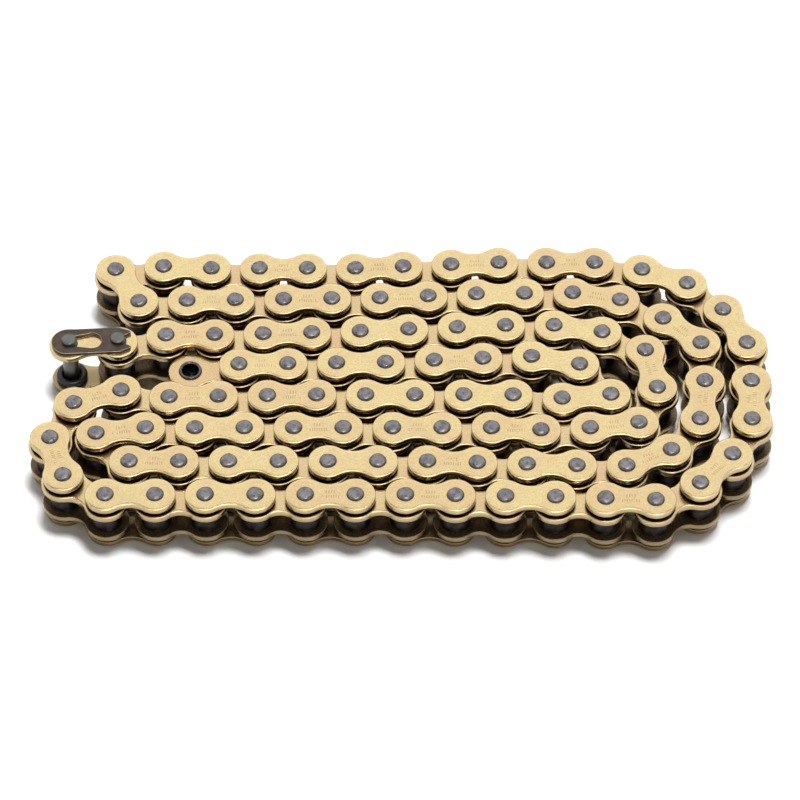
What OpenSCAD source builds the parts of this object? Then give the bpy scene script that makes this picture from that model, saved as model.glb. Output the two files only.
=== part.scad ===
// Sealed-ring drive chain, lying coiled on its side, with both ends open and
// a spring-clip master link on the outer end.
// Millimetres, +Z up. The origin is at the middle of the coil, on the surface
// that the pin ends rest on, and every pin stands upright.

/* [Chain] */
// Distance from one pin to the next
pitch = 15.875; // [15.85:0.005:16]
// Clear width between the inner plates
inner_width = 7.94; // [7.5:0.02:9.54]
// Gap between an inner and an outer plate, which the seal ring fills
seal_gap = 1.4; // [1.2:0.1:1.8]

/* [Plates] */
// Thickness of an outer plate
outer_plate_t = 2; // [1.6:0.1:2.6]
// Thickness of an inner plate
inner_plate_t = 2.2; // [1.6:0.1:2.6]
// Height of an outer plate at a pin
outer_plate_h = 13; // [12:0.1:13.6]
// Height of an outer plate at its waist
outer_waist_h = 8.4; // [8:0.1:10]
// Height of an inner plate at a bush
inner_plate_h = 14.3; // [13.5:0.1:14.3]
// Height of an inner plate at its waist
inner_waist_h = 8.8; // [8.4:0.1:11]

/* [Pins and rollers] */
// Diameter of a pin
pin_d = 5.24; // [5:0.02:5.4]
// Height of a riveted pin end above its outer plate
pin_head = 0.95; // [0.5:0.05:1.2]
// Height of the lower pin ends, which the chain lies on
pin_foot = 0.6; // [0.4:0.05:1]
// Outside diameter of a bush
bush_d = 7.2; // [7:0.05:7.4]
// Bore of a bush
bush_bore = 5.36; // [5.32:0.02:5.5]
// How far a bush stands out of its inner plates
bush_proud = 0.7; // [0.3:0.1:0.9]
// Outside diameter of a roller
roller_d = 10.16; // [9.6:0.02:10.3]
// Outside diameter of a seal ring
seal_d = 10.3; // [9.8:0.1:10.6]
// Thickness of the ring on the free pin, which nothing squeezes
free_seal_cord = 2.4; // [1.5:0.1:2.4]

/* [Spring clip] */
// Thickness of the clip
clip_t = 1.1; // [0.8:0.1:1.3]
// Width of the clip
clip_w = 10.2; // [9.4:0.1:10.6]
// Diameter of the groove that the clip sits in
groove_d = 3.4; // [3:0.1:4]
// Diameter of the pin end above the groove
clip_head_d = 4.7; // [4.4:0.1:4.8]
// Height of the pin end above the clip
clip_head_t = 1.2; // [0.5:0.1:1.4]

/* [Hidden] */
$fn = 48;
fit = 0.02;
running = 0.1;

// The coil, link by link: how many links share a heading, and that heading
// in degrees from +X. It starts at the free bush of the inner end link.
first_station = [-69.02, 5.64];
route = [
    [1, 1], [3, 1], [3, 3],
    [1, -12], [1, -52], [1, -174],
    [1, 175], [4, 180], [3, -179],
    [1, 170], [1, -161], [1, -116], [1, -72], [1, -30],
    [6, 0], [3, -1], [2, -2],
    [1, 25], [1, 47], [1, 64], [1, 88], [1, 92], [1, 117], [1, 135], [1, 158], [1, 169],
    [2, 180], [3, -177], [3, 180], [1, 177], [1, -175], [1, -59],
    [5, 1], [2, 3], [2, 1],
    [1, -11], [1, -30], [1, -41], [1, -88], [1, -98], [1, -128], [1, -156],
    [1, 180], [3, 178], [6, 180],
    [1, 134], [1, 8],
    [7, 0], [1, -3], [1, 3],
    [1, 8], [1, 66], [1, 102], [1, 151], [1, 170],
    [1, 180], [3, -177], [2, -178], [2, -179],
    [1, -169], [1, -177]
];
headings = [for (run = route) for (n = [1:run[0]]) run[1]];
links = len(headings);
stations = [
    for (i = 0, p = first_station;
         i <= links;
         p = i < links ? p + pitch * [cos(headings[i]), sin(headings[i])] : p, i = i + 1)
        p
];

// Even links are inner links and odd links are outer links. The first link,
// the last inner link and the master link are separate moving groups.
tail = links - 2;
master = links - 1;
coil_outer_links = [1:2:tail - 1];
coil_inner_links = [2:2:tail - 2];
coil_pins = [1:tail];
coil_bushes = [2:tail - 1];
// The rollers round the outside of the coil turn on their own: the front run,
// the right-hand turn and the back run
front_first = 23;
turn_first = 35;
back_first = 43;
back_last = 53;
coil_rollers = [for (i = coil_bushes) if (i < front_first || i > back_last) i];

// Heights of the layers, from the surface up
outer_low_z = pin_foot;
inner_low_z = outer_low_z + outer_plate_t + seal_gap;
roller_z = inner_low_z + inner_plate_t;
inner_top_z = roller_z + inner_width;
outer_top_z = inner_top_z + inner_plate_t + seal_gap;
plates_top = outer_top_z + outer_plate_t;
pin_top = plates_top + pin_head;
clip_z = plates_top + running;
master_pin_top = clip_z + clip_t + running + clip_head_t;

bush_z = inner_low_z - bush_proud;
bush_h = inner_top_z + inner_plate_t + bush_proud - bush_z;
roller_h = inner_width - 2 * running;
roller_bore = bush_d + 2 * running;
seal_cord = seal_gap - 0.1;

// Moves to a station, or to the start of a link and along it
module at_station(i) {
    translate(stations[i]) children();
}

module along_link(i) {
    translate(stations[i]) rotate(headings[i]) children();
}

// The figure-of-eight outline: two round ends joined by a waist of two arcs
module plate_outline(end_h, waist_h) {
    end_r = end_h / 2;
    waist_r = (waist_h * waist_h / 4 + pitch * pitch / 4 - end_r * end_r) / (end_h - waist_h);
    waist_y = waist_r + waist_h / 2;
    touch = end_r / (end_r + waist_r);
    touch_x = pitch / 2 * touch;
    touch_y = waist_y * touch;
    for (x = [0, pitch]) translate([x, 0]) circle(end_r);
    difference() {
        polygon([
            [touch_x, -touch_y], [pitch - touch_x, -touch_y],
            [pitch - touch_x, touch_y], [touch_x, touch_y]
        ]);
        for (side = [-1, 1]) translate([pitch / 2, side * waist_y]) circle(waist_r);
    }
}

module plate(end_h, waist_h, thickness, hole_d) {
    linear_extrude(thickness) difference() {
        plate_outline(end_h, waist_h);
        for (x = [0, pitch]) translate([x, 0]) circle(hole_d / 2);
    }
}

module outer_plate(i, z) {
    along_link(i) translate([0, 0, z])
        plate(outer_plate_h, outer_waist_h, outer_plate_t, pin_d + 2 * fit);
}

module inner_plate(i, z) {
    along_link(i) translate([0, 0, z])
        plate(inner_plate_h, inner_waist_h, inner_plate_t, bush_d + 2 * fit);
}

// A pin with both ends riveted over to a blunt cone
module pin(i) {
    r = pin_d / 2;
    end_r = 1.9;
    at_station(i) rotate_extrude() polygon([
        [0, 0], [end_r, 0], [r, 0.5],
        [r, pin_top - 0.6], [end_r, pin_top], [0, pin_top]
    ]);
}

// A master link pin, with a groove for the clip near its top
module master_pin(i) {
    r = pin_d / 2;
    neck = groove_d / 2;
    head = clip_head_d / 2;
    edge = 0.25;
    at_station(i) rotate_extrude() polygon([
        [0, 0], [r - edge, 0], [r, edge],
        [r, plates_top - 0.1], [neck, plates_top - 0.1],
        [neck, master_pin_top - clip_head_t], [head, master_pin_top - clip_head_t],
        [head, master_pin_top - edge], [head - edge, master_pin_top], [0, master_pin_top]
    ]);
}

// A bush with a lead-in at both ends of its bore
module bush(i) {
    bore = bush_bore / 2;
    edge = 0.3;
    at_station(i) translate([0, 0, bush_z]) rotate_extrude() polygon([
        [bore + edge, 0], [bush_d / 2, 0], [bush_d / 2, bush_h], [bore + edge, bush_h],
        [bore, bush_h - edge], [bore, edge]
    ]);
}

module roller(i) {
    at_station(i) translate([0, 0, roller_z + running]) difference() {
        cylinder(h = roller_h, d = roller_d);
        translate([0, 0, -1]) cylinder(h = roller_h + 2, d = roller_bore);
    }
}

// A seal ring whose middle is at height z
module ring(i, z, cord) {
    at_station(i) translate([0, 0, z])
        rotate_extrude() translate([(seal_d - cord) / 2, 0]) circle(cord / 2);
}

// A seal ring in the gap above height z
module seal(i, z) {
    ring(i, z + seal_gap / 2, seal_cord);
}

// The coil itself
module outer_plates_top() {
    color("#e3cf92") for (i = coil_outer_links) outer_plate(i, outer_top_z);
}

module outer_plates_bottom() {
    color("#d6bf80") for (i = coil_outer_links) outer_plate(i, outer_low_z);
}

module inner_plates_top() {
    color("#dcc290") for (i = coil_inner_links) inner_plate(i, inner_top_z);
}

module inner_plates_bottom() {
    color("#cdb07c") for (i = coil_inner_links) inner_plate(i, inner_low_z);
}

module pins() {
    color("#8f8d92") for (i = coil_pins) pin(i);
}

module bushes() {
    color("#77757a") for (i = coil_bushes) bush(i);
}

module rollers() {
    color("#2b2725") for (i = coil_rollers) roller(i);
}

module seals_top() {
    color("#141312") for (i = coil_pins) seal(i, inner_top_z + inner_plate_t);
}

module seals_bottom() {
    color("#141312") for (i = coil_pins) seal(i, outer_low_z + outer_plate_t);
}

// The rollers that turn, numbered along the chain: from left to right in
// front, up the right-hand turn, and from right to left at the back
module front_roller(n) {
    color("#2b2725") roller(front_first + n - 1);
}

module turn_roller(n) {
    color("#2b2725") roller(turn_first + n - 1);
}

module back_roller(n) {
    color("#2b2725") roller(back_first + n - 1);
}

// The inner link at the start of the chain, with one free bush
module end_link_plate_top() {
    color("#dcc290") inner_plate(0, inner_top_z);
}

module end_link_plate_bottom() {
    color("#cdb07c") inner_plate(0, inner_low_z);
}

module end_link_free_bush() {
    color("#a8a7aa") bush(0);
}

module end_link_bush() {
    color("#77757a") bush(1);
}

module end_roller_free() {
    color("#2b2725") roller(0);
}

module end_roller_joined() {
    color("#2b2725") roller(1);
}

// The last inner link, which carries the master link
module tail_link_plate_top() {
    color("#dcc290") inner_plate(tail, inner_top_z);
}

module tail_link_plate_bottom() {
    color("#cdb07c") inner_plate(tail, inner_low_z);
}

module tail_link_bush() {
    color("#77757a") bush(tail);
}

module tail_link_master_bush() {
    color("#77757a") bush(master);
}

module tail_roller() {
    color("#2b2725") roller(tail);
}

module tail_roller_master() {
    color("#2b2725") roller(master);
}

// The master link: a plate with two grooved pins, a cover plate and a clip
module master_pin_plate() {
    color("#d6bf80") outer_plate(master, outer_low_z);
}

module master_pin_joined() {
    color("#8f8d92") master_pin(master);
}

module master_pin_free() {
    color("#8f8d92") master_pin(links);
}

module master_cover_plate() {
    color("#e3cf92") outer_plate(master, outer_top_z);
}

module master_seals() {
    color("#141312") {
        seal(master, outer_low_z + outer_plate_t);
        seal(master, inner_top_z + inner_plate_t);
    }
}

module free_pin_seal() {
    color("#141312")
        ring(links, outer_low_z + outer_plate_t + free_seal_cord / 2 + fit, free_seal_cord);
}

// The clip: a blade with a round closed end, a pear-shaped hole that the free
// pin's neck sits at the small end of, and a mouth that opens past the other
module spring_clip() {
    half_w = clip_w / 2;
    closed_x = -0.6;
    seat_r = groove_d / 2 + running;
    pear_x = 7.5;
    pear_r = 3.15;
    leg_x = pitch + 0.6;
    tip_x = pitch + 4.3;
    throat_x = pitch + 2.2;
    throat_half = seat_r;
    mouth_half = 2.9;
    color("#4b4440") along_link(master) translate([pitch, 0, clip_z]) rotate(180)
    linear_extrude(clip_t) difference() {
        union() {
            translate([closed_x, 0]) circle(half_w);
            translate([closed_x, -half_w]) square([leg_x - closed_x, clip_w]);
            polygon([
                [leg_x, -half_w], [tip_x - 0.3, -mouth_half - 0.7], [tip_x, -mouth_half],
                [tip_x, mouth_half], [tip_x - 0.3, mouth_half + 0.7], [leg_x, half_w]
            ]);
        }
        circle(seat_r);
        translate([pear_x, 0]) circle(pear_r);
        polygon([[0, -seat_r], [pear_x, -pear_r], [pear_x, pear_r], [0, seat_r]]);
        translate([pitch, 0]) circle(seat_r);
        polygon([
            [pitch, -throat_half], [throat_x, -throat_half], [tip_x, -mouth_half],
            [tip_x + 1, -mouth_half], [tip_x + 1, mouth_half], [tip_x, mouth_half],
            [throat_x, throat_half], [pitch, throat_half]
        ]);
    }
}

outer_plates_top();
outer_plates_bottom();
inner_plates_top();
inner_plates_bottom();
pins();
bushes();
rollers();
seals_top();
seals_bottom();
front_roller(1);  // front_roller_1
front_roller(2);  // front_roller_2
front_roller(3);  // front_roller_3
front_roller(4);  // front_roller_4
front_roller(5);  // front_roller_5
front_roller(6);  // front_roller_6
front_roller(7);  // front_roller_7
front_roller(8);  // front_roller_8
front_roller(9);  // front_roller_9
front_roller(10);  // front_roller_10
front_roller(11);  // front_roller_11
front_roller(12);  // front_roller_12
turn_roller(1);  // turn_roller_1
turn_roller(2);  // turn_roller_2
turn_roller(3);  // turn_roller_3
turn_roller(4);  // turn_roller_4
turn_roller(5);  // turn_roller_5
turn_roller(6);  // turn_roller_6
turn_roller(7);  // turn_roller_7
turn_roller(8);  // turn_roller_8
back_roller(1);  // back_roller_1
back_roller(2);  // back_roller_2
back_roller(3);  // back_roller_3
back_roller(4);  // back_roller_4
back_roller(5);  // back_roller_5
back_roller(6);  // back_roller_6
back_roller(7);  // back_roller_7
back_roller(8);  // back_roller_8
back_roller(9);  // back_roller_9
back_roller(10);  // back_roller_10
back_roller(11);  // back_roller_11
end_link_plate_top();
end_link_plate_bottom();
end_link_free_bush();
end_link_bush();
end_roller_free();
end_roller_joined();
tail_link_plate_top();
tail_link_plate_bottom();
tail_link_bush();
tail_link_master_bush();
tail_roller();
tail_roller_master();
master_pin_plate();
master_pin_joined();
master_pin_free();
master_cover_plate();
master_seals();
free_pin_seal();
spring_clip();
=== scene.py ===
"""Looks for the coiled drive chain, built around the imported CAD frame. Metres, +Z up."""

import functools
import itertools
import math

import bpy
import numpy as np
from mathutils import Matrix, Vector
from mathutils.geometry import tessellate_polygon


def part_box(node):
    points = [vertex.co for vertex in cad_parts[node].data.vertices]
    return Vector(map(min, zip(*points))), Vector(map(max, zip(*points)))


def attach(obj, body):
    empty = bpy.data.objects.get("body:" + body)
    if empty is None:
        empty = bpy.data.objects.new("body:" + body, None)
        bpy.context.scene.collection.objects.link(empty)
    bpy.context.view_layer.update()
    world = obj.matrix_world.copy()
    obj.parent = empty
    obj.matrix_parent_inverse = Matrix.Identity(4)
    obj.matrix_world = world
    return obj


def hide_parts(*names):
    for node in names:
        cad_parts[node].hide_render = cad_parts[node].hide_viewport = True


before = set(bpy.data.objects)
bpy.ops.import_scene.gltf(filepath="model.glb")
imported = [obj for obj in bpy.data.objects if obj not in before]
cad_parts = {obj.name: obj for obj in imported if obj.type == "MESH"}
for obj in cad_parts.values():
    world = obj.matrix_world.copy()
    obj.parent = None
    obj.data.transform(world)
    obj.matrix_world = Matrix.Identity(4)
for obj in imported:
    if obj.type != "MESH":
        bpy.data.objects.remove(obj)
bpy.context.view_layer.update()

MM = 0.001
PITCH = 15.875  # mm, from pin to pin
WELDED = 0.002 * MM  # two points this close are one point
CLOSE = 0.02 * MM  # two places this close are the same place

# ---------------------------------------------------------------- where things are


@functools.cache
def islands(node):
    """The separate solids of a CAD node, each as its points."""
    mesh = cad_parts[node].data
    co = np.zeros(len(mesh.vertices) * 3)
    mesh.vertices.foreach_get("co", co)
    co = co.reshape(-1, 3)
    _, same = np.unique(np.round(co / WELDED).astype(np.int64), axis=0, return_inverse=True)
    same = same.ravel()
    edges = np.zeros(len(mesh.edges) * 2, np.int32)
    mesh.edges.foreach_get("vertices", edges)
    edges = same[edges.reshape(-1, 2)]
    label = np.arange(same.max() + 1)
    while True:
        before = label.copy()
        low = np.minimum(label[edges[:, 0]], label[edges[:, 1]])
        np.minimum.at(label, edges[:, 0], low)
        np.minimum.at(label, edges[:, 1], low)
        label = label[label]
        if (label == before).all():
            break
    of_point = label[same]
    return [co[of_point == k] for k in np.unique(of_point)]


def middle(points):
    """The plan position of a solid's middle."""
    return (points.min(0)[:2] + points.max(0)[:2]) / 2


def centres(node):
    """The plan positions of a node's round solids."""
    return [middle(points) for points in islands(node)]


def heights(node):
    """A node's lowest and highest z, in metres."""
    low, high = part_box(node)
    return low.z, high.z


def thickness(node):
    """A node's height from bottom to top, in mm."""
    low, high = heights(node)
    return (high - low) / MM


AXLES = ("pins", "end_link_free_bush", "master_pin_joined", "master_pin_free")
stations = np.array([at for node in AXLES for at in centres(node)])


def links(node):
    """For each plate of a node, its first hole's position and its heading."""
    found = []
    for points in islands(node):
        centre = middle(points)
        reach = np.linalg.norm(stations - centre, axis=1)
        near = stations[np.abs(reach - PITCH * MM / 2) < CLOSE]
        for a, b in itertools.permutations(near, 2):
            if np.linalg.norm((a + b) / 2 - centre) < CLOSE and a[0] <= b[0]:
                found.append((a, math.atan2(b[1] - a[1], b[0] - a[0])))
                break
    return found


# ---------------------------------------------------------------- mesh building


class Shape:
    """A mesh under construction, with a normal for each point."""

    def __init__(self):
        self.points, self.normals, self.faces = [], [], []

    def add(self, points, normals):
        start = sum(len(p) for p in self.points)
        self.points.append(points)
        self.normals.append(normals)
        return start

    def sweep(self, base, out, profile):
        """Carries a profile of (inset, height) round a closed loop. Gives each ring's first point."""
        count = len(base)
        profile = np.array(profile, float)
        step = np.diff(np.stack([-profile[:, 0], profile[:, 1]], 1), axis=0)
        step /= np.linalg.norm(step, axis=1)[:, None]
        along = np.vstack([step[:1], step[:-1] + step[1:], step[-1:]])
        along /= np.linalg.norm(along, axis=1)[:, None]
        i = np.arange(count)
        j = (i + 1) % count
        rings = []
        for (inset, z), (outward, upward) in zip(profile, along):
            points = np.column_stack([base - inset * out, np.full(count, z)])
            normals = np.column_stack([out * upward, np.full(count, -outward)])
            start = self.add(points, normals)
            if rings:
                last = rings[-1]
                self.faces += np.column_stack([last + i, last + j, start + j, start + i]).tolist()
            rings.append(start)
        return rings

    def cap(self, loops, up):
        """Fills between an outer ring and its holes with a flat face. Each loop is (start, plan points)."""
        flat = [[Vector((x, y, 0)) for x, y in plan] for _, plan in loops]
        index = [start + k for start, plan in loops for k in range(len(plan))]
        plan = np.vstack([p for _, p in loops])
        for a, b, c in tessellate_polygon(flat):
            turn = np.cross(plan[b] - plan[a], plan[c] - plan[a])
            if (turn > 0) != (up > 0):
                b, c = c, b
            self.faces.append([index[a], index[b], index[c]])

    def arrays(self):
        return np.vstack(self.points), np.vstack(self.normals), self.faces


def circle(r, n, inward=False, at=(0, 0)):
    """Plan points and outward directions of a round wall; inward is for a bore."""
    a = np.arange(n) * 2 * math.pi / n
    if inward:
        a = -a
    d = np.column_stack([np.cos(a), np.sin(a)])
    return np.array(at) + r * d, (-d if inward else d)


def plate_outline(end_r, waist_h):
    """The figure-of-eight of a plate from its first hole at 0,0 to the second at PITCH,0, in mm."""
    end_steps, waist_steps = 34, 10
    waist_r = (waist_h**2 / 4 + PITCH**2 / 4 - end_r**2) / (2 * end_r - waist_h)
    waist_y = waist_r + waist_h / 2
    touch = math.atan2(waist_y, PITCH / 2)
    swing = math.pi / 2 - touch
    base, out = [], []
    for x, side, a0, a1 in (
        (PITCH, 1, touch - math.pi, math.pi - touch),
        (0, -1, touch, 2 * math.pi - touch),
    ):
        for a in np.linspace(a0, a1, end_steps + 1):
            d = np.array([math.cos(a), math.sin(a)])
            base.append(np.array([x, 0]) + end_r * d)
            out.append(d)
        for a in np.linspace(-swing, swing, waist_steps + 1)[1:-1]:
            d = np.array([side * math.sin(-a), -side * math.cos(a)])
            base.append(np.array([PITCH / 2, side * waist_y]) + waist_r * d)
            out.append(-d)
    return np.array(base), np.array(out)


def plate(end_r, waist_h, t, hole_r):
    """A stamped plate lying flat, its rolled edge up: points, normals, faces and marks in mm."""
    hole_steps, seat_width, grease_shade_edge = 28, 0.2, 0.5
    s = Shape()
    base, out = plate_outline(end_r, waist_h)
    # (inset from the outline, height): a burred lower edge, the cut wall, a corner and a long shallow roll
    rim = [(0.26, 0), (0.1, 0.04), (0.02, 0.16), (0.0, 0.3), (0.0, t - 0.5), (0.01, t - 0.34)]
    rim += [(0.07, t - 0.2), (0.2, t - 0.11), (0.38, t - 0.065), (0.65, t - 0.028)]
    rim += [(1.0, t - 0.008), (1.35, t)]
    rings = s.sweep(base, out, rim)
    bottoms, tops = [(rings[0], base - rim[0][0] * out)], [(rings[-1], base - rim[-1][0] * out)]
    bevel = [(0.16, 0), (0, 0.14), (0, t - 0.3), (0.1, t - 0.12), (0.26, t)]
    for x in (0, PITCH):
        hole, inward = circle(hole_r, hole_steps, True, (x, 0))
        rings = s.sweep(hole, inward, bevel)
        bottoms.append((rings[0], hole - bevel[0][0] * inward))
        tops.append((rings[-1], hole - bevel[-1][0] * inward))
    s.cap(tops, 1)
    s.cap(bottoms, -1)
    points, normals, faces = s.arrays()
    for loops, up in ((tops, 1), (bottoms, -1)):
        for start, plan in loops:
            normals[start : start + len(plan)] = (0, 0, up)
    x, y, z = points.T
    reach = np.minimum(np.hypot(x, y), np.hypot(x - PITCH, y))
    marks = {
        # painted shade round each hole
        "seat": np.clip(1 - (reach - hole_r) / seat_width, 0, 1),
        # grease and painted shade on the inner side
        "inside": np.clip(1 - z / grease_shade_edge, 0, 1),
    }
    return points, normals, faces, marks


def lathe(profiles, n):
    """A turned piece: profiles of (radius, height) carried round its axis, in mm."""
    s = Shape()
    base, out = circle(0, n)
    for profile in profiles:
        s.sweep(base, out, [(-radius, z) for radius, z in profile])
    return (*s.arrays(), {})


def upside_down(piece, t):
    """The same piece turned over within its own thickness."""
    points, normals, faces, marks = piece
    points, normals = points * (1, 1, -1) + (0, 0, t), normals * (1, 1, -1)
    return points, normals, [f[::-1] for f in faces], marks


def make(name, copies, body, material, stands_for):
    """One piece from copies of templates. A copy is (template, plan position, heading, height, marks)."""
    points, normals, local, loops, totals = [], [], [], [], []
    names = sorted({k for template, *_, own in copies for k in [*template[3], *own]})
    marks = {k: [] for k in names}
    start = 0
    for (p, nrm, faces, given), at, heading, z, own in copies:
        cos, sin = math.cos(heading), math.sin(heading)
        turn = np.array([[cos, -sin, 0], [sin, cos, 0], [0, 0, 1]])
        points.append((p * MM) @ turn.T + (at[0], at[1], z))
        normals.append(nrm @ turn.T)
        local.append(p)
        for k in names:
            marks[k].append(given[k] if k in given else np.full(len(p), own.get(k, 0.0)))
        for f in faces:
            loops += [start + i for i in f]
        totals += [len(f) for f in faces]
        start += len(p)
    points, normals = np.vstack(points), np.vstack(normals)
    normals /= np.linalg.norm(normals, axis=1)[:, None]
    mesh = bpy.data.meshes.new(name)
    mesh.vertices.add(len(points))
    mesh.vertices.foreach_set("co", points.ravel())
    mesh.loops.add(len(loops))
    mesh.loops.foreach_set("vertex_index", loops)
    mesh.polygons.add(len(totals))
    mesh.polygons.foreach_set("loop_start", np.concatenate([[0], np.cumsum(totals)[:-1]]))
    mesh.polygons.foreach_set("loop_total", totals)
    mesh.update(calc_edges=True)
    mesh.polygons.foreach_set("use_smooth", np.ones(len(totals), bool))
    attribute = mesh.attributes.new("local", "FLOAT_VECTOR", "POINT")
    attribute.data.foreach_set("vector", np.vstack(local).ravel())
    for k, parts in marks.items():
        attribute = mesh.attributes.new(k, "FLOAT", "POINT")
        attribute.data.foreach_set("value", np.concatenate(parts))
    mesh.normals_split_custom_set_from_vertices(normals)
    piece = bpy.data.objects.new(name, mesh)
    bpy.context.scene.collection.objects.link(piece)
    piece.data.materials.append(material)
    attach(piece, body)
    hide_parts(*stands_for)


# ---------------------------------------------------------------- materials


class Nodes:
    """Short ways to wire a material. Its places are in mm."""

    def __init__(self, name):
        self.material = bpy.data.materials.new(name)
        self.material.use_nodes = True
        self.tree = self.material.node_tree
        self.tree.nodes.clear()
        self.shader = self.new("ShaderNodeBsdfPrincipled")
        output = self.new("ShaderNodeOutputMaterial")
        self.link(self.shader.outputs[0], output.inputs["Surface"])
        coords = self.new("ShaderNodeTexCoord")
        self.place = self.new("ShaderNodeMapping")
        self.place.inputs["Scale"].default_value = (1 / MM, 1 / MM, 1 / MM)
        self.link(coords.outputs["Object"], self.place.inputs["Vector"])

    def new(self, kind, **values):
        node = self.tree.nodes.new(kind)
        for k, v in values.items():
            setattr(node, k, v)
        return node

    def link(self, a, b):
        self.tree.links.new(a, b)

    def feed(self, socket, value):
        """Links a socket to another, or sets it to a number or to an (r, g, b) colour."""
        if hasattr(value, "is_linked"):
            self.link(value, socket)
        elif isinstance(value, tuple):
            socket.default_value = (*value, 1)
        else:
            socket.default_value = value

    def noise(self, scale, detail=2.0, rough=0.5, stretch=None, source=None):
        """Noise with a scale per millimetre."""
        node = self.new("ShaderNodeTexNoise")
        node.inputs["Scale"].default_value = scale
        node.inputs["Detail"].default_value = detail
        node.inputs["Roughness"].default_value = rough
        source = source or self.place.outputs[0]
        if stretch:
            mapping = self.new("ShaderNodeMapping")
            mapping.inputs["Scale"].default_value = stretch
            self.link(source, mapping.inputs["Vector"])
            source = mapping.outputs[0]
        self.link(source, node.inputs["Vector"])
        return node.outputs[0]

    def mark(self, name, output="Fac"):
        """A value that make() wrote on the points."""
        return self.new("ShaderNodeAttribute", attribute_name=name).outputs[output]

    def math(self, operation, a, b=0.0, clamp=False):
        node = self.new("ShaderNodeMath", operation=operation, use_clamp=clamp)
        self.feed(node.inputs[0], a)
        self.feed(node.inputs[1], b)
        return node.outputs[0]

    def spread(self, value, low, high, out_low=0.0, out_high=1.0):
        """A smooth step from out_low, where the value is at low, to out_high, where it is at high."""
        node = self.new("ShaderNodeMapRange", interpolation_type="SMOOTHSTEP")
        names = ("Value", "From Min", "From Max", "To Min", "To Max")
        for k, v in zip(names, (value, low, high, out_low, out_high)):
            self.feed(node.inputs[k], v)
        return node.outputs[0]

    def mix(self, amount, a, b):
        node = self.new("ShaderNodeMix", data_type="RGBA")
        self.feed(node.inputs[0], amount)
        self.feed(node.inputs[6], a)
        self.feed(node.inputs[7], b)
        return node.outputs[2]

    def bump(self, height, strength, distance):
        node = self.new("ShaderNodeBump")
        node.inputs["Strength"].default_value = strength
        node.inputs["Distance"].default_value = distance * MM
        self.link(height, node.inputs["Height"])
        self.link(node.outputs[0], self.shader.inputs["Normal"])

    def set(self, **values):
        for k, v in values.items():
            self.feed(self.shader.inputs[k.replace("_", " ")], v)

    def facing_up(self):
        """How level the surface is: 1 on a top or bottom face, 0 on a wall."""
        geometry = self.new("ShaderNodeNewGeometry")
        split = self.new("ShaderNodeSeparateXYZ")
        self.link(geometry.outputs["Normal"], split.inputs[0])
        return self.math("ABSOLUTE", split.outputs[2])


LOWER_WALL_SHADE = (0.42, 0.38, 0.38)  # painted shade: what is left of each colour on the lower plates' cut walls, which lie under the top plates
SPECK = (0.14, 0.08, 0.03)
SCRATCH = (0.28, 0.19, 0.09)
PRESSED = (0.34, 0.21, 0.10)
# grease with painted shade, for the faces between the plates
GREASE_AND_SHADE = (0.095, 0.058, 0.026), (0.21, 0.145, 0.07)
# painted shade where something lies on a plate round its pins
SHADE_UNDER_COVER = (0.035, 0.022, 0.01)
# painted shade in the seat round each pin hole
PIN_SEAT_SHADE = (0.03, 0.018, 0.01)
# each row of the stamp: its place across the plate, half its length and the step from dash to dash, in mm
STAMP_ROWS = (0.95, 1.7, 0.85), (-0.95, 3.0, 0.75)


def stamp(n, x, y):
    """Two short rows of plain dashes pressed into the waist of a plate, where a real one carries its mark."""
    rows = []
    for row_y, half_row, step in STAMP_ROWS:
        in_row = n.spread(n.math("ABSOLUTE", n.math("SUBTRACT", y, row_y)), 0.66, 0.5)
        in_length = n.spread(n.math("ABSOLUTE", x), half_row + 0.08, half_row - 0.04)
        phase = n.math("FRACT", n.math("DIVIDE", x, step))
        dash = n.spread(n.math("ABSOLUTE", n.math("SUBTRACT", phase, 0.5)), 0.3, 0.18)
        rows.append(n.math("MULTIPLY", n.math("MULTIPLY", in_row, in_length), dash))
    return n.math("ADD", *rows)


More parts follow.
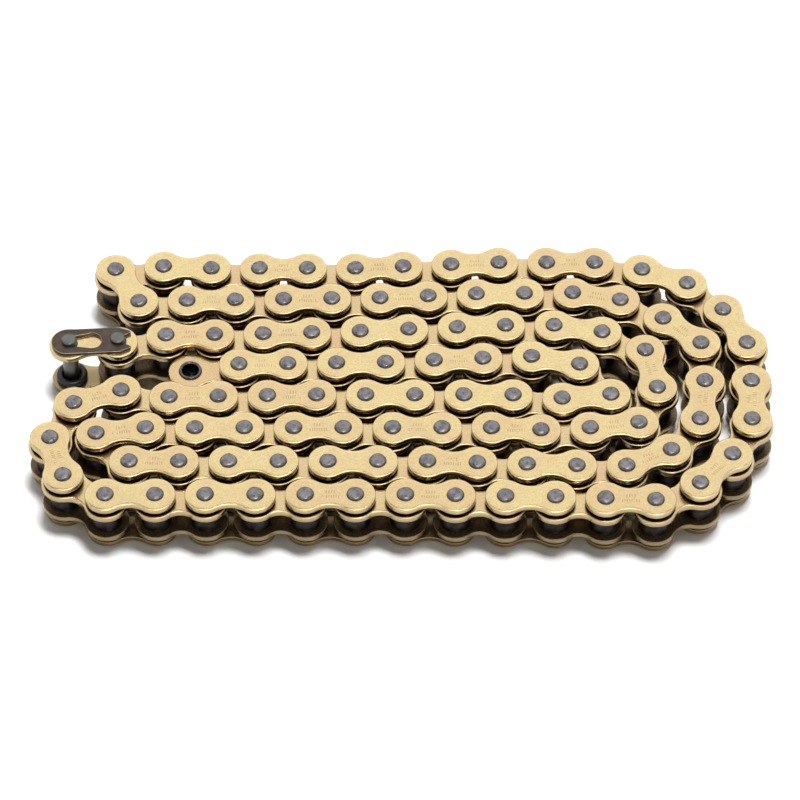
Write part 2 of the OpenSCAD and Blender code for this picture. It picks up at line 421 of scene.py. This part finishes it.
def gold(name, light, warm, dull, covered_r=0.0, stamped=False):
    """Satin gold plating, mottled, brushed and specked, with cut walls dulled and painted with shade, and
    grease with painted shade on the inner side, round the pin seats and under what lies on it.

    covered_r is the radius of what lies on it round each pin, in mm; inside it the plate is painted with
    shade.
    """
    n = Nodes(name)
    local = n.mark("local", "Vector")
    split = n.new("ShaderNodeSeparateXYZ")
    n.link(local, split.inputs[0])
    x = n.math("SUBTRACT", split.outputs[0], PITCH / 2)
    y = split.outputs[1]

    # the flat faces
    cloud = n.noise(0.16, 3, 0.55)
    grain = n.noise(1.9, 4, 0.7)
    brush = n.noise(1.0, 3, 0.55, stretch=(0.5, 3.0, 1.0), source=local)
    amount = n.math("ADD", n.math("MULTIPLY", cloud, 1.6), n.math("MULTIPLY", n.mark("tone"), 0.5))
    colour = n.mix(n.spread(amount, 0.65, 1.4), light, warm)
    mottle = n.math("ADD", n.math("MULTIPLY", grain, 1.4), n.math("MULTIPLY", brush, 0.6))
    colour = n.mix(n.spread(mottle, 0.7, 1.35, 0.0, 0.55), colour, dull)
    speck = n.spread(n.noise(0.8, 3, 0.75), 0.68, 0.76, 0.0, 0.6)
    colour = n.mix(speck, colour, SPECK)
    scratch = n.noise(0.55, 2, 0.6, stretch=(0.3, 3.2, 1.0), source=local)
    colour = n.mix(n.spread(scratch, 0.7, 0.76, 0.0, 0.45), colour, SCRATCH)
    height = n.math("ADD", n.math("MULTIPLY", brush, 0.3), n.math("MULTIPLY", grain, 0.7))
    if stamped:
        pressed = n.math("MULTIPLY", stamp(n, x, y), n.spread(n.mark("tone"), 0.25, 0.6))
        pressed = n.math("MULTIPLY", pressed, n.spread(n.noise(0.7, 2), 0.35, 0.5))
        colour = n.mix(n.math("MULTIPLY", pressed, 0.5), colour, PRESSED)
        height = n.math("SUBTRACT", height, n.math("MULTIPLY", pressed, 0.5))

    # the cut walls: a duller sheared finish, darkened further as painted shade
    level = n.facing_up()
    dimmed = tuple(c * 0.8 for c in light)
    cut = n.mix(n.spread(n.math("ADD", grain, cloud), 0.8, 1.15), dimmed, dull)
    # painted shade: the lower plates' cut walls are darker still
    lower_wall_shaded = tuple(c * left for c, left in zip(dull, LOWER_WALL_SHADE))
    cut = n.mix(n.math("MULTIPLY", n.mark("low"), 0.5), cut, lower_wall_shaded)
    colour = n.mix(n.spread(level, 0.05, 0.5), cut, colour)

    # the side that faces the middle of the chain is dark with grease and painted shade, and what lies under a
    # seal ring carries painted shade
    grease_and_shade = n.mix(n.spread(grain, 0.35, 0.65), *GREASE_AND_SHADE)
    if covered_r:
        along = n.math("SUBTRACT", n.math("ABSOLUTE", x), PITCH / 2)
        squares = n.math("ADD", n.math("POWER", along, 2.0), n.math("POWER", y, 2.0))
        reach = n.math("SQRT", squares)
        bare = n.math("MULTIPLY", n.mark("bare"), n.spread(x, 0.5, -0.5))
        # painted shade under what lies on the plate round each pin, except on a bare end
        covered_shade = n.spread(reach, covered_r + 0.15, covered_r - 0.25, 0.0, 0.9)
        colour = n.mix(n.math("SUBTRACT", covered_shade, bare, clamp=True), colour, SHADE_UNDER_COVER)
    greasy_and_shaded = n.math("MULTIPLY", n.mark("inside"), n.math("SUBTRACT", 0.93, n.mark("clean")))
    colour = n.mix(greasy_and_shaded, colour, grease_and_shade)
    # painted shade in the seat round each pin
    colour = n.mix(n.spread(n.mark("seat"), 0.0, 0.9, 0.0, 0.9), colour, PIN_SEAT_SHADE)
    n.set(Base_Color=colour, Metallic=n.spread(greasy_and_shaded, 0.1, 0.9, 1.0, 0.35))
    rolled = n.math("MULTIPLY", n.spread(level, 0.995, 0.95), n.spread(level, 0.3, 0.7))
    gloss = n.spread(grain, 0.25, 0.75, 0.19, 0.28)
    n.set(Roughness=n.math("ADD", gloss, n.math("MULTIPLY", rolled, 0.14)))
    n.bump(height, 0.3, 0.02)
    return n.material


def steel(name, light, dark, rough, patch, bump):
    """Dark machined or tempered steel with cloudy heat colour and small scratches."""
    n = Nodes(name)
    cloud = n.noise(patch, 4, 0.65)
    grain = n.noise(5.0, 3, 0.6)
    colour = n.mix(n.spread(cloud, 0.35, 0.65), dark, light)
    scratched = tuple(c * 1.7 for c in light)
    colour = n.mix(n.spread(grain, 0.62, 0.74, 0.0, 0.35), colour, scratched)
    n.set(Base_Color=colour, Metallic=1.0)
    n.set(Roughness=n.spread(cloud, 0.3, 0.7, rough - 0.05, rough + 0.06))
    height = n.math("ADD", n.math("MULTIPLY", cloud, 0.7), n.math("MULTIPLY", grain, 0.3))
    n.bump(height, 0.5, bump)
    return n.material


def rubber(name):
    """Black greased rubber."""
    n = Nodes(name)
    cloud = n.noise(0.6, 3, 0.6)
    n.set(Base_Color=n.mix(cloud, (0.006, 0.006, 0.006), (0.022, 0.021, 0.02)))
    n.set(Roughness=n.spread(cloud, 0.3, 0.7, 0.28, 0.5))
    n.bump(n.noise(3.5, 3, 0.6), 0.3, 0.03)
    return n.material


def clip_steel(name):
    """Brown-black oxide spring steel, with a painted highlight along its bevelled edges."""
    n = Nodes(name)
    cloud = n.noise(0.35, 4, 0.6)
    grain = n.noise(4.0, 3, 0.6)
    colour = n.mix(n.spread(cloud, 0.3, 0.7), (0.068, 0.053, 0.044), (0.094, 0.075, 0.061))
    level = n.facing_up()
    # painted highlight: the tilted bevel faces are lighter
    edge = n.math("MULTIPLY", n.spread(level, 0.12, 0.4), n.spread(level, 0.99, 0.9))
    colour = n.mix(n.math("MULTIPLY", edge, 0.7), colour, (0.62, 0.5, 0.34))
    n.set(Base_Color=colour, Metallic=1.0)
    n.set(Roughness=n.spread(grain, 0.3, 0.7, 0.3, 0.46))
    n.bump(grain, 0.3, 0.02)
    return n.material


GOLD_OUTER = gold("gold_outer", (0.73, 0.59, 0.30), (0.68, 0.51, 0.275), (0.50, 0.38, 0.20), stamped=True)
GOLD_INNER = gold("gold_inner", (0.67, 0.53, 0.28), (0.65, 0.465, 0.26), (0.47, 0.35, 0.185), covered_r=6.5)
# light colour, dark colour, roughness, clouds per mm and bump height in mm
PIN_STEEL = steel("pin_steel", (0.225, 0.22, 0.22), (0.13, 0.127, 0.14), 0.31, 0.7, 0.014)
MASTER_STEEL = steel("master_pin_steel", (0.145, 0.15, 0.142), (0.115, 0.12, 0.114), 0.36, 0.3, 0.006)
BUSH_STEEL = steel("bush_steel", (0.30, 0.29, 0.28), (0.18, 0.17, 0.165), 0.35, 0.6, 0.01)
BRIGHT_STEEL = steel("bright_bush_steel", (0.13, 0.13, 0.125), (0.09, 0.09, 0.088), 0.28, 0.4, 0.006)
ROLLER_STEEL = steel("roller_steel", (0.040, 0.038, 0.039), (0.014, 0.011, 0.009), 0.36, 0.3, 0.012)
RUBBER = rubber("seal_rubber")
CLIP_STEEL = clip_steel("clip_steel")

# ---------------------------------------------------------------- pieces: shapes in mm, places in metres

PIN_R = 2.62
SEAL_R = 5.15  # outside
SEAL_STEPS, CORD_STEPS = 40, 12

rng = np.random.default_rng(7)


def lay(template, node, turned_over=False, **own):
    """A template at every plate of a node."""
    if turned_over:
        template = upside_down(template, thickness(node))
    low = heights(node)[0]
    return [
        (template, at, heading, low, {"tone": float(rng.random()), **own})
        for at, heading in links(node)
    ]


def stand(template, node, places=None):
    """A template on the axis of every round solid of a node."""
    low = heights(node)[0]
    return [
        (template, at, float(rng.random() * math.pi * 2), low, {"tone": float(rng.random())})
        for at in (places or centres(node))
    ]


OUTER = plate(end_r=6.5, waist_h=8.4, t=thickness("outer_plates_top"), hole_r=2.64)
INNER = plate(end_r=7.15, waist_h=8.8, t=thickness("inner_plates_top"), hole_r=3.62)

# node, body, template, turned over, and the marks of its own
PLATES = [
    ("outer_plates_top", "coil", OUTER, False, {}),
    ("outer_plates_bottom", "coil", OUTER, True, {"low": 1.0}),
    ("inner_plates_top", "coil", INNER, False, {}),
    ("inner_plates_bottom", "coil", INNER, True, {"low": 1.0}),
    ("end_link_plate_top", "end_link", INNER, False, {"bare": 1.0}),
    ("end_link_plate_bottom", "end_link", INNER, True, {"low": 1.0}),
    ("tail_link_plate_top", "tail_link", INNER, False, {}),
    ("tail_link_plate_bottom", "tail_link", INNER, True, {"low": 1.0}),
    ("master_cover_plate", "master_link", OUTER, False, {}),
    ("master_pin_plate", "master_link", OUTER, True, {"low": 1.0, "clean": 0.4}),
]
for node, body, template, over, own in PLATES:
    slot, material = "outer_plate_gold", GOLD_OUTER
    if template is INNER:
        slot, material = "inner_plate_gold", GOLD_INNER
    make(node + "_look", lay(template, node, over, **own), body, material, [node])


def riveted_pin(h, plates_h):
    """A pin with peened heads: a short wall, a rounded shoulder and a nearly flat crown."""
    r = PIN_R
    foot = [(0, 0), (1.2, 0.0), (1.75, 0.03), (2.2, 0.2), (r, 0.6)]
    top = [(r, plates_h - 0.5), (r + 0.05, plates_h + 0.05), (r + 0.03, plates_h + 0.22)]
    top += [(2.56, h - 0.46), (2.45, h - 0.3), (2.28, h - 0.17), (2.05, h - 0.09), (1.8, h - 0.04)]
    top += [(1.5, h - 0.015), (1.0, h), (0, h)]
    return lathe([foot + top], 26)


def worn(template, above):
    """A copy of a pin whose upper end is a little out of round, as a peened head is."""
    points, normals, faces, marks = template
    points = points.copy()
    a = np.arctan2(points[:, 1], points[:, 0])
    wave = sum(
        size * np.cos(k * a + rng.random() * 6.28)
        for k, size in ((2, 0.018), (3, 0.022), (5, 0.018), (7, 0.01))
    )
    up = np.clip((points[:, 2] - above) / 0.25, 0, 1)
    points[:, :2] *= (1 + wave * up)[:, None]
    lean = rng.normal(0, 0.018, 2)
    points[:, 2] += up * (points[:, :2] @ lean)
    return points, normals, faces, marks


pin_low = heights("pins")[0]
plates_top = heights("outer_plates_top")[1]
above_plates = (plates_top - pin_low) / MM
PIN = riveted_pin(thickness("pins"), above_plates)
pins = [(worn(PIN, above_plates), *place) for _, *place in stand(PIN, "pins")]
make("pins_look", pins, "coil", PIN_STEEL, ["pins"])


def grooved_pin(h, groove_low, groove_high):
    """A master link pin with a turned groove and a bevelled, slightly dished end."""
    r, neck, head = PIN_R, 1.7, 2.35
    step = r - 0.12
    shaft = [(0, 0), (2.2, 0), (2.5, 0.08), (r, 0.25), (r, groove_low - 0.15), (step, groove_low)]
    groove_floor = [(step, groove_low), (neck, groove_low)]
    groove_wall = [(neck, groove_low), (neck, groove_high)]
    groove_roof = [(neck, groove_high), (head, groove_high)]
    end = [(head, groove_high), (head, h - 0.3), (head - 0.08, h - 0.16), (head - 0.3, h - 0.02)]
    end += [(head - 0.45, h), (head - 0.7, h - 0.01), (0.9, h - 0.03), (0, h - 0.03)]
    return lathe([shaft, groove_floor, groove_wall, groove_roof, end], 40)


def bush(h):
    """A turned bush with a bevelled mouth at each end."""
    r, bore = 3.6, 2.68
    wall = [(r - 0.12, 0), (r, 0.12), (r, h - 0.14), (r - 0.05, h - 0.04), (r - 0.16, h)]
    mouth = [(r - 0.16, h), (bore + 0.4, h), (bore + 0.1, h - 0.16), (bore, h - 0.4), (bore, 0.3)]
    mouth += [(bore + 0.25, 0)]
    return lathe([wall, mouth, [(bore + 0.25, 0), (r - 0.12, 0)]], 32)


def roller(h):
    """A cold-formed roller: rounded shoulders, a barely crowned wall and an open bore."""
    r, bore = 5.08, 3.7
    low = [(bore + 0.2, 0), (r - 0.7, 0)]
    low += [(r - 0.5 + 0.45 * math.sin(t), 0.5 - 0.5 * math.cos(t)) for t in (0.3, 0.7, 1.1, 1.4)]
    wall = [(r - 0.02, h * 0.2), (r, h * 0.5), (r - 0.02, h * 0.8)]
    high = [(x, h - z) for x, z in reversed(low)]
    inside = [(bore + 0.2, h), (bore, h - 0.2), (bore, 0.2), (bore + 0.2, 0)]
    return lathe([low + wall + high, inside], 34)


def ring(cord):
    """A rubber ring lying flat with its lowest point at height 0."""
    s = Shape()
    base, out = circle(SEAL_R, SEAL_STEPS)
    turn = -math.pi / 2 + np.arange(CORD_STEPS + 1) * 2 * math.pi / CORD_STEPS
    s.sweep(base, out, [(cord / 2 * (1 - math.cos(t)), cord / 2 * (1 + math.sin(t))) for t in turn])
    return (*s.arrays(), {})


BUSH = bush(thickness("bushes"))
ROLLER = roller(thickness("rollers"))
make("bushes_look", stand(BUSH, "bushes"), "coil", BUSH_STEEL, ["bushes"])
make("rollers_look", stand(ROLLER, "rollers"), "coil", ROLLER_STEEL, ["rollers"])
for node, body, slot, material in [
    ("end_link_free_bush", "end_link", "bright_bush_steel", BRIGHT_STEEL),
    ("end_link_bush", "end_link", "bush_steel", BUSH_STEEL),
    ("tail_link_bush", "tail_link", "bush_steel", BUSH_STEEL),
    ("tail_link_master_bush", "tail_link", "bush_steel", BUSH_STEEL),
]:
    make(node + "_look", stand(BUSH, node), body, material, [node])
for node in sorted(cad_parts):
    if "roller" in node and node != "rollers":
        make(node + "_look", stand(ROLLER, node), node + "_body", ROLLER_STEEL, [node])

clip_top = heights("spring_clip")[1]
GROOVE_PLAY = 0.1
for node in ("master_pin_joined", "master_pin_free"):
    low = heights(node)[0]
    groove_low = (plates_top - low) / MM - GROOVE_PLAY
    groove_high = (clip_top - low) / MM + GROOVE_PLAY
    template = grooved_pin(thickness(node), groove_low, groove_high)
    make(node + "_look", stand(template, node), "master_link", MASTER_STEEL, [node])

SEAL = ring(thickness("seals_top"))
for node in ("seals_top", "seals_bottom"):
    make(node + "_look", stand(SEAL, node, centres("pins")), "coil", RUBBER, [node])
for node in ("master_seals", "free_pin_seal"):
    copies = []
    for points in islands(node):
        low, high = points[:, 2].min(), points[:, 2].max()
        copies.append((ring((high - low) / MM), middle(points), 0.0, low, {}))
    make(node + "_look", copies, "master_link", RUBBER, [node])

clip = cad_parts["spring_clip"]
clip.data.materials.clear()
clip.data.materials.append(CLIP_STEEL)
weld = clip.modifiers.new("weld", "WELD")
weld.merge_threshold = 0.001 * MM
edge = clip.modifiers.new("edges", "BEVEL")
edge.width = 0.16 * MM
edge.segments = 3
edge.limit_method = "ANGLE"
edge.angle_limit = math.radians(35)
edge.harden_normals = True

# ---------------------------------------------------------------- stage, light, camera, in metres

MIDDLE = (0, 0, 0)
HIGH_SIZE = (1.3, 0.8)
CARD_SIZE = (2.6, 1.2)
CARD_AWAY, CARD_UP = 1.25, 1.2


def stage_floor():
    n = Nodes("floor_white")
    colour = n.mix(n.noise(0.01, 2, 0.5), (0.93, 0.93, 0.93), (0.95, 0.95, 0.95))
    n.set(Base_Color=colour, Roughness=0.7, Specular_IOR_Level=0.1)
    mesh = bpy.data.meshes.new("floor")
    side = 4.0
    corners = [(-side, -side, 0), (side, -side, 0), (side, side, 0), (-side, side, 0)]
    mesh.from_pydata(corners, [], [(0, 1, 2, 3)])
    floor = bpy.data.objects.new("floor", mesh)
    floor.data.materials.append(n.material)
    bpy.context.scene.collection.objects.link(floor)


def softbox(name, at, size, brightness, mirrored=True, lighting=True):
    """A rectangular lamp turned to the middle; its face is that bright, 1 being the white of the picture."""
    data = bpy.data.lights.new(name, "AREA")
    data.shape = "RECTANGLE"
    data.size, data.size_y = size
    data.energy = brightness * math.pi * size[0] * size[1]
    lamp = bpy.data.objects.new(name, data)
    lamp.location = at
    lamp.rotation_euler = (Vector(MIDDLE) - Vector(at)).to_track_quat("-Z", "Y").to_euler()
    lamp.visible_glossy = mirrored
    lamp.visible_diffuse = lighting
    bpy.context.scene.collection.objects.link(lamp)


stage_floor()
# the key draws the shadow; the metal sees it dimmed, or the view from above would be one white glare,
# and a second glint in front lights its rolled edges
KEY_AT, FRONT_AT = (0.4, 0.86, 5.0), (0.4, -1.72, 4.7)
softbox("key", KEY_AT, HIGH_SIZE, 52.0, mirrored=False)
softbox("glint", KEY_AT, HIGH_SIZE, 28.0)
softbox("front_glint", FRONT_AT, HIGH_SIZE, 30.0, lighting=False)
softbox("back", (0.0, CARD_AWAY, CARD_UP), CARD_SIZE, 1.2)
# the same for the views from the other sides, mirrored only
softbox("left", (-CARD_AWAY, 0, CARD_UP), CARD_SIZE, 0.85, lighting=False)
softbox("right", (CARD_AWAY, 0, CARD_UP), CARD_SIZE, 0.85, lighting=False)
softbox("front", (0, -CARD_AWAY, CARD_UP), CARD_SIZE, 0.6, lighting=False)

# a studio that is light all round at low height and dim overhead
LOW_Z, HIGH_Z, LOW_LIGHT, HIGH_LIGHT = 0.5, 0.72, 0.5, 0.06
world = bpy.data.worlds.new("studio")
world.use_nodes = True
tree = world.node_tree
sky = tree.nodes["Background"]
sky.inputs["Color"].default_value = (1, 1, 1, 1)
direction = tree.nodes.new("ShaderNodeTexCoord")
split = tree.nodes.new("ShaderNodeSeparateXYZ")
fall = tree.nodes.new("ShaderNodeMapRange")
fall.interpolation_type = "SMOOTHSTEP"
fall.inputs["From Min"].default_value = LOW_Z
fall.inputs["From Max"].default_value = HIGH_Z
fall.inputs["To Min"].default_value = LOW_LIGHT
fall.inputs["To Max"].default_value = HIGH_LIGHT
tree.links.new(direction.outputs["Generated"], split.inputs[0])
tree.links.new(split.outputs[2], fall.inputs["Value"])
tree.links.new(fall.outputs[0], sky.inputs["Strength"])
bpy.context.scene.world = world
bpy.context.scene.view_settings.view_transform = "Standard"

AIM = Vector((-0.0008, 0.0066, 0.0))
ELEVATION = math.radians(51.33)
DISTANCE = 1.3689
LENS, SENSOR = 187.4, 36  # mm
camera_data = bpy.data.cameras.new("camera")
camera_data.lens = LENS
camera_data.sensor_width = SENSOR
camera = bpy.data.objects.new("camera", camera_data)
away = Vector((0, -math.cos(ELEVATION), math.sin(ELEVATION)))
camera.location = AIM + DISTANCE * away
camera.rotation_euler = (-away).to_track_quat("-Z", "Y").to_euler()
bpy.context.scene.collection.objects.link(camera)
bpy.context.scene.camera = camera
